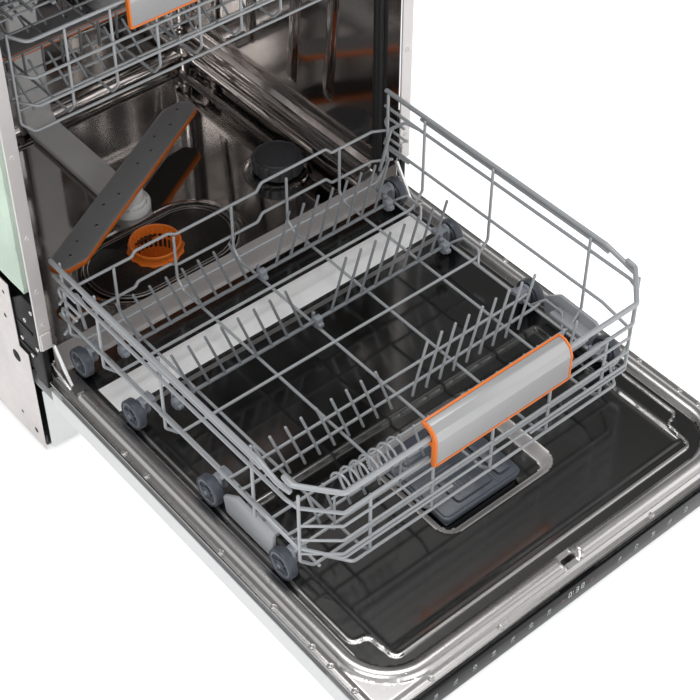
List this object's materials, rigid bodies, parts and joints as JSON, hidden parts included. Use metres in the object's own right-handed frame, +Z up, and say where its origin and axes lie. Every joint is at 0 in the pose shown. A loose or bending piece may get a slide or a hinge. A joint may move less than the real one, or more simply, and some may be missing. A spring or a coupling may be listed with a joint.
{
  "type": "built-in dishwasher",
  "caption": "Built-in dishwasher with open drop-down door, stainless tub, wheeled lower basket drawn out, upper basket, spray arms, filter and detergent dispenser.",
  "frame": {"origin": "middle of the footprint of the machine with its door open and lower basket drawn out, on the floor under the feet", "axes": "+X to the user's right, +Y from the open door towards the back wall, +Z up"},
  "size_m": [0.598, 1.176, 0.818],
  "materials": {
    "dark_plastic": "fine moulded texture",
    "zinc_sheet": "zinc-coated sheet, satin",
    "light_panel": "smooth light grey coating",
    "tub_steel": "bright stainless sheet",
    "door_steel": "dark mirror-bright stainless sheet",
    "rail_steel": "bright zinc-plated steel",
    "seal_rubber": "matt black rubber",
    "mat_green": "pressed fibre mat",
    "pale_plastic": "natural moulded plastic",
    "duct_plastic": "satin moulded plastic",
    "filter_mesh": "fine perforated sheet",
    "black_plastic": "satin moulded plastic",
    "dispenser_plastic": "satin moulded plastic",
    "control_glass": "glossy black touch strip",
    "cap_plastic": "grained moulded plastic",
    "orange_plastic": "satin moulded plastic",
    "arm_plastic": "satin moulded plastic",
    "coated_wire": "smooth polyamide coating on steel wire",
    "handle_plastic": "silver-grey satin coating",
    "wheel_plastic": "moulded plastic",
    "tine_coating": "smooth dark coating on steel wire",
    "shelf_plastic": "satin moulded plastic"
  },
  "bodies": {
    "cabinet": {"base_tray": "dark_plastic", "side_panels": "zinc_sheet", "rear_panel": "zinc_sheet", "top_frame": "zinc_sheet", "plinth_plate": "light_panel", "adjustable_feet": "dark_plastic", "tub_sides": "tub_steel", "tub_ceiling": "tub_steel", "tub_back": "tub_steel", "tub_floor": "tub_steel", "door_sill": "tub_steel", "front_flange": "tub_steel", "door_gasket": "seal_rubber", "insulation_mats": "mat_green", "sump_pot": "dark_plastic", "wash_pump": "pale_plastic", "drain_pump": "dark_plastic", "softener_tank": "pale_plastic", "air_break": "pale_plastic", "feed_duct": "duct_plastic", "arm_hub": "duct_plastic", "fine_filter": "filter_mesh", "upper_rails": "rail_steel", "hinge_covers": "black_plastic", "door_springs": "rail_steel"},
    "door": {"hinge_arms": "rail_steel", "hinge_pins": "rail_steel", "door_outer": "light_panel", "door_inner": "door_steel", "door_side_strips": "seal_rubber", "door_bottom_seal": "seal_rubber", "dispenser_body": "dispenser_plastic", "control_strip": "control_glass", "door_latch": "dark_plastic", "door_screws": "rail_steel"},
    "detergent_lid": {"dispenser_lid": "dispenser_plastic"},
    "rinse_flap": {"rinse_aid_cap": "dispenser_plastic"},
    "salt_cap": {"salt_cap": "cap_plastic"},
    "filter_cup": {"coarse_filter": "orange_plastic"},
    "lower_arm": {"lower_spray_arm": "arm_plastic"},
    "ceiling_arm": {"ceiling_sprayer": "arm_plastic"},
    "lower_basket": {"lower_basket_wires": "coated_wire", "lower_basket_rim": "coated_wire", "lower_handle": "handle_plastic", "lower_handle_trim": "orange_plastic", "wheel_carriers": "wheel_plastic", "tine_clips": "wheel_plastic"},
    "rear_tine_row": {"rear_tines": "tine_coating"},
    "front_tine_row": {"front_tines": "tine_coating"},
    "wheels_1": {"wheel_pair_1": "wheel_plastic"},
    "wheels_2": {"wheel_pair_2": "wheel_plastic"},
    "wheels_3": {"wheel_pair_3": "wheel_plastic"},
    "wheels_4": {"wheel_pair_4": "wheel_plastic"},
    "upper_basket": {"upper_basket_wires": "coated_wire", "upper_handle": "handle_plastic", "upper_arm_feed": "arm_plastic"},
    "shelf": {"cup_shelf": "shelf_plastic"},
    "upper_arm": {"upper_spray_arm": "arm_plastic"},
    "rollers_front": {"upper_rollers_front": "wheel_plastic"},
    "rollers_rear": {"upper_rollers_rear": "wheel_plastic"}
  },
  "joints": [
    {"name": "door_hinge", "type": "hinge", "parent": "cabinet", "child": "door", "pos_m": [0, 0.062, 0.18], "axis": [-1, 0, 0], "range_deg": [-1.5, 0], "stiffness_Nm_per_rad": 900, "springref_deg": 3.44},
    {"name": "lower_basket_slide", "type": "slide", "parent": "cabinet", "child": "lower_basket", "axis": [0, 1, 0], "range_m": [0, 0.48]},
    {"name": "upper_basket_slide", "type": "slide", "parent": "cabinet", "child": "upper_basket", "axis": [0, -1, 0], "range_m": [0, 0.42]},
    {"name": "lower_arm_spin", "type": "hinge", "parent": "cabinet", "child": "lower_arm", "pos_m": [0, 0.312, 0.16], "axis": [0, 0, 1], "continuous": true},
    {"name": "ceiling_arm_spin", "type": "hinge", "parent": "cabinet", "child": "ceiling_arm", "pos_m": [0, 0.312, 0.77], "axis": [0, 0, 1], "continuous": true},
    {"name": "upper_arm_spin", "type": "hinge", "parent": "upper_basket", "child": "upper_arm", "pos_m": [0, 0.312, 0.457], "axis": [0, 0, 1], "continuous": true},
    {"name": "filter_lift", "type": "slide", "parent": "cabinet", "child": "filter_cup", "axis": [0, 0, -1], "range_m": [-0.08, 0]},
    {"name": "salt_cap_unscrew", "type": "hinge", "parent": "cabinet", "child": "salt_cap", "pos_m": [0.215, 0.241, 0.136], "axis": [0, 0, 1], "range_deg": [0, 270]},
    {"name": "rear_tine_fold", "type": "hinge", "parent": "lower_basket", "child": "rear_tine_row", "pos_m": [0, -0.004, 0.214], "axis": [1, 0, 0], "range_deg": [0, 88]},
    {"name": "front_tine_fold", "type": "hinge", "parent": "lower_basket", "child": "front_tine_row", "pos_m": [0, -0.117, 0.214], "axis": [1, 0, 0], "range_deg": [0, 88]},
    {"name": "cup_shelf_fold", "type": "hinge", "parent": "upper_basket", "child": "shelf", "pos_m": [-0.239, 0.318, 0.604], "axis": [0, -1, 0], "range_deg": [0, 85]},
    {"name": "detergent_lid_slide", "type": "slide", "parent": "door", "child": "detergent_lid", "axis": [0, 1, 0], "range_m": [0, 0.04]},
    {"name": "rinse_flap_hinge", "type": "hinge", "parent": "door", "child": "rinse_flap", "pos_m": [0.044, -0.392, 0.1774], "axis": [0, 1, 0], "range_deg": [0, 95]},
    {"name": "wheel_1_roll", "type": "hinge", "parent": "lower_basket", "child": "wheels_1", "pos_m": [0, 0.028, 0.193], "axis": [1, 0, 0], "range_deg": [-1376, 0.5]},
    {"name": "wheel_2_roll", "type": "hinge", "parent": "lower_basket", "child": "wheels_2", "pos_m": [0, -0.085, 0.193], "axis": [1, 0, 0], "range_deg": [-1376, 0.5]},
    {"name": "wheel_3_roll", "type": "hinge", "parent": "lower_basket", "child": "wheels_3", "pos_m": [0, -0.238, 0.193], "axis": [1, 0, 0], "range_deg": [-1376, 0.5]},
    {"name": "wheel_4_roll", "type": "hinge", "parent": "lower_basket", "child": "wheels_4", "pos_m": [0, -0.373, 0.193], "axis": [1, 0, 0], "range_deg": [-1376, 0.5]},
    {"name": "roller_front_roll", "type": "hinge", "parent": "upper_basket", "child": "rollers_front", "pos_m": [0, 0.168, 0.5604], "axis": [1, 0, 0], "range_deg": [-0.5, 2006]},
    {"name": "roller_rear_roll", "type": "hinge", "parent": "upper_basket", "child": "rollers_rear", "pos_m": [0, 0.518, 0.5604], "axis": [1, 0, 0], "range_deg": [-0.5, 2006]}
  ],
  "couplings": [
    {"joint": "wheel_1_roll", "follows": "lower_basket_slide", "rad_per_m": -50},
    {"joint": "wheel_2_roll", "follows": "lower_basket_slide", "rad_per_m": -50},
    {"joint": "wheel_3_roll", "follows": "lower_basket_slide", "rad_per_m": -50},
    {"joint": "wheel_4_roll", "follows": "lower_basket_slide", "rad_per_m": -50},
    {"joint": "roller_front_roll", "follows": "upper_basket_slide", "rad_per_m": 83.333},
    {"joint": "roller_rear_roll", "follows": "upper_basket_slide", "rad_per_m": 83.333}
  ]
}
